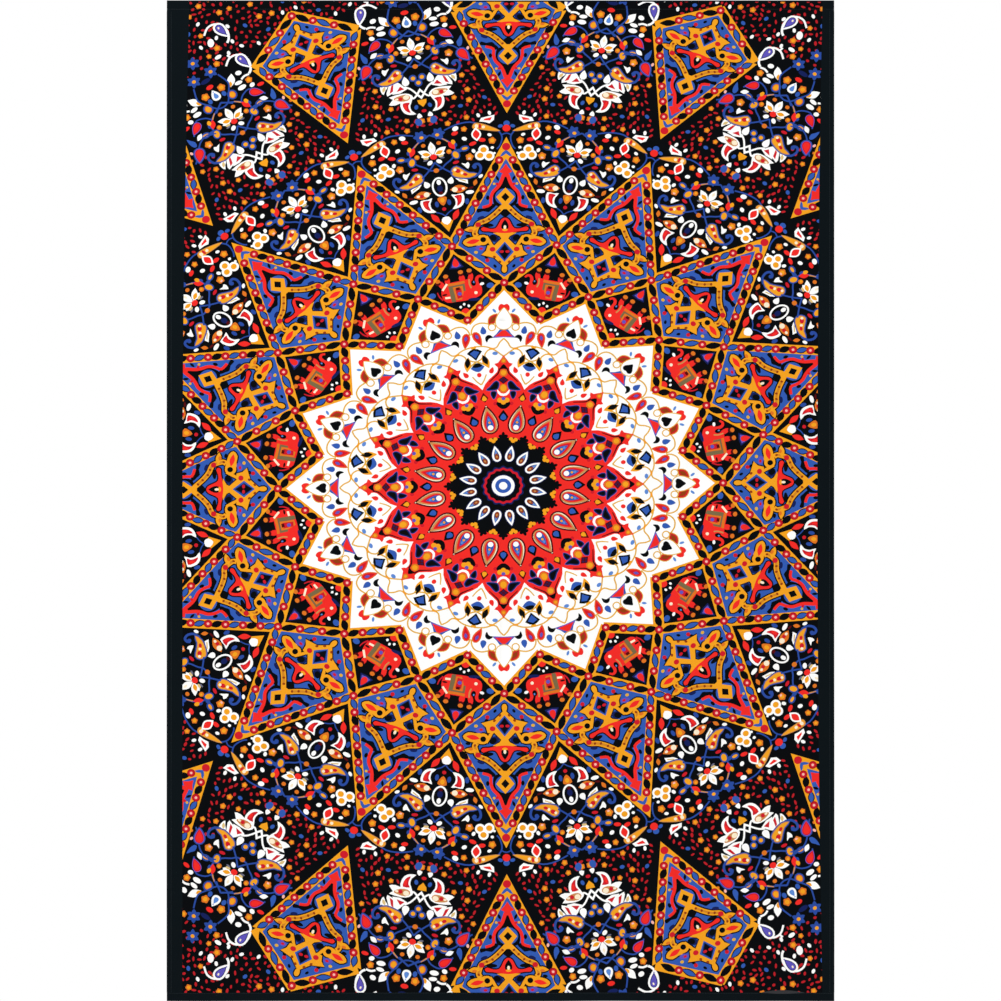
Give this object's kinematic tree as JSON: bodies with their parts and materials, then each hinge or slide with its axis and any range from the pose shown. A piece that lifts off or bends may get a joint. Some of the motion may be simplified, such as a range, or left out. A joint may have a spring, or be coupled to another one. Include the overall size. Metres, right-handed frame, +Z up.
{
  "type": "tapestry wall hanging",
  "caption": "Rectangular printed cotton wall hanging with a narrow rod sleeve along the top, turned hems and a round many-pointed mandala print with elephants.",
  "frame": {"origin": "middle of the rod sleeve's tunnel, halfway along the top edge", "axes": "+X to the viewer's right across the cloth, +Y from the printed face to the wall, +Z up"},
  "size_m": [1.524, 0.008, 2.286],
  "materials": {
    "printed_cloth": "matte",
    "border_cloth": "matte",
    "thread": "satin",
    "label_ribbon": "satin"
  },
  "bodies": {
    "rod_sleeve": {"sleeve_face": "border_cloth", "sleeve_fold": "border_cloth", "sleeve_back": "border_cloth", "sleeve_taper": "border_cloth", "sleeve_turning": "border_cloth", "top_hem_stitching": "thread", "left_backtack": "thread", "right_backtack": "thread"},
    "hanging_panel": {"printed_panel": "printed_cloth", "left_side_hem": "border_cloth", "right_side_hem": "border_cloth", "bottom_hem": "border_cloth", "left_hem_stitching": "thread", "right_hem_stitching": "thread", "bottom_hem_stitching": "thread", "care_label": "label_ribbon", "care_label_stitching": "thread"}
  },
  "joints": [
    {"name": "hem_swing", "type": "hinge", "parent": "rod_sleeve", "child": "hanging_panel", "pos_m": [0, -0.00375, -0.0165], "axis": [-1, 0, 0], "range_deg": [0, 75]}
  ]
}
